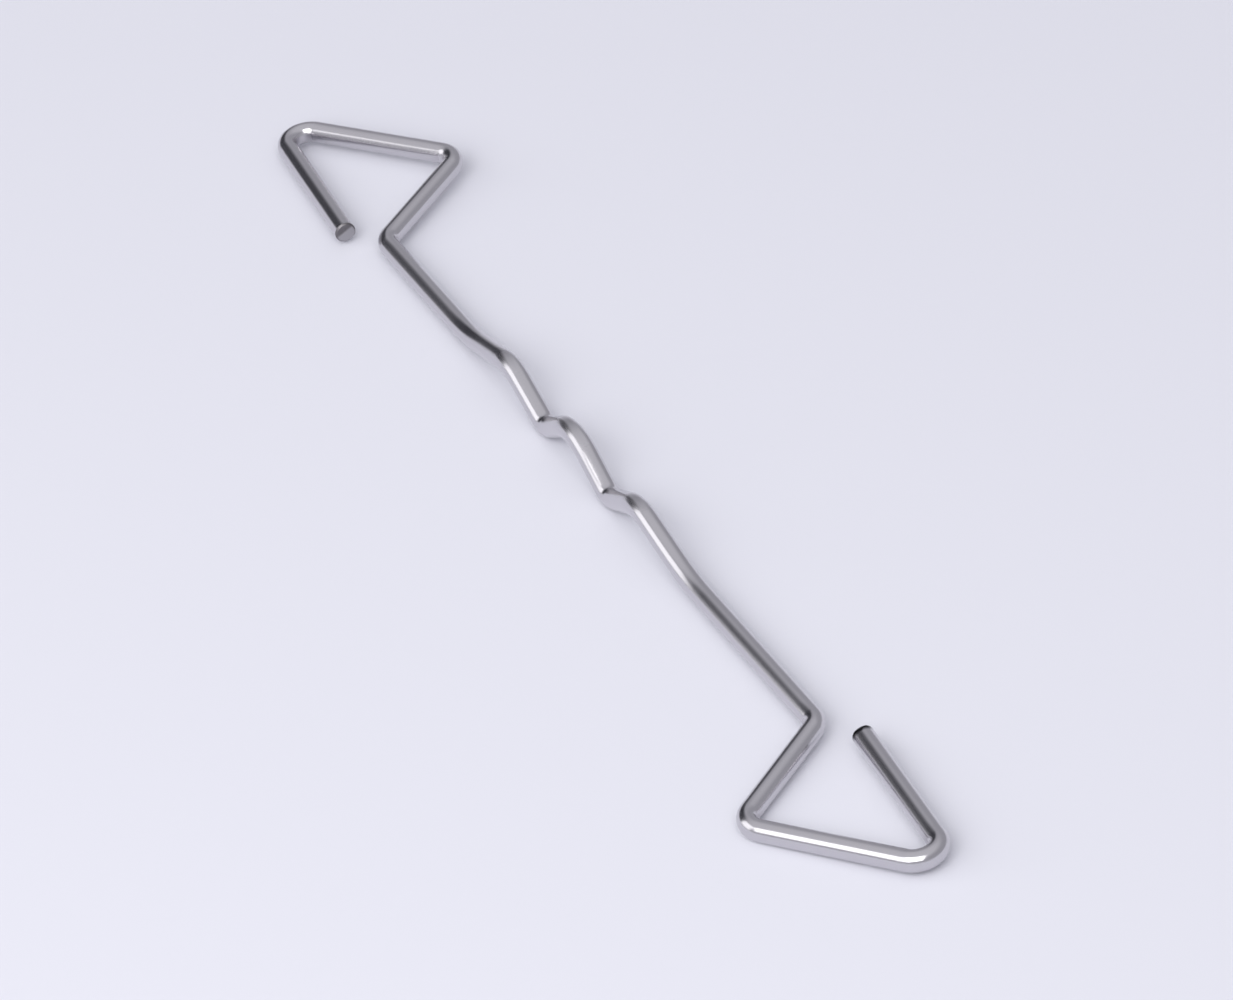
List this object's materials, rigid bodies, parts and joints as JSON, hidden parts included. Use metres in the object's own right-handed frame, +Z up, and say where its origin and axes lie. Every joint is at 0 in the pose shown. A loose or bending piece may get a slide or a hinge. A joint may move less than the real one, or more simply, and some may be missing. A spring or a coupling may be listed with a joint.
{
  "type": "wall tie",
  "caption": "Cavity wall tie bent from one round wire, with an open triangular end at each side and wavy drips in the shank between them.",
  "frame": {"origin": "on the surface the tie lies on, below the middle of its box", "axes": "+X along the shank, towards the end whose square corner touches the surface; +Z up, the way the drips rise; +Y completes the right-handed frame"},
  "size_m": [0.225, 0.04, 0.0081],
  "materials": {
    "steel": "bright drawn stainless wire"
  },
  "bodies": {
    "root": {"tie_wire": "steel"}
  },
  "joints": []
}
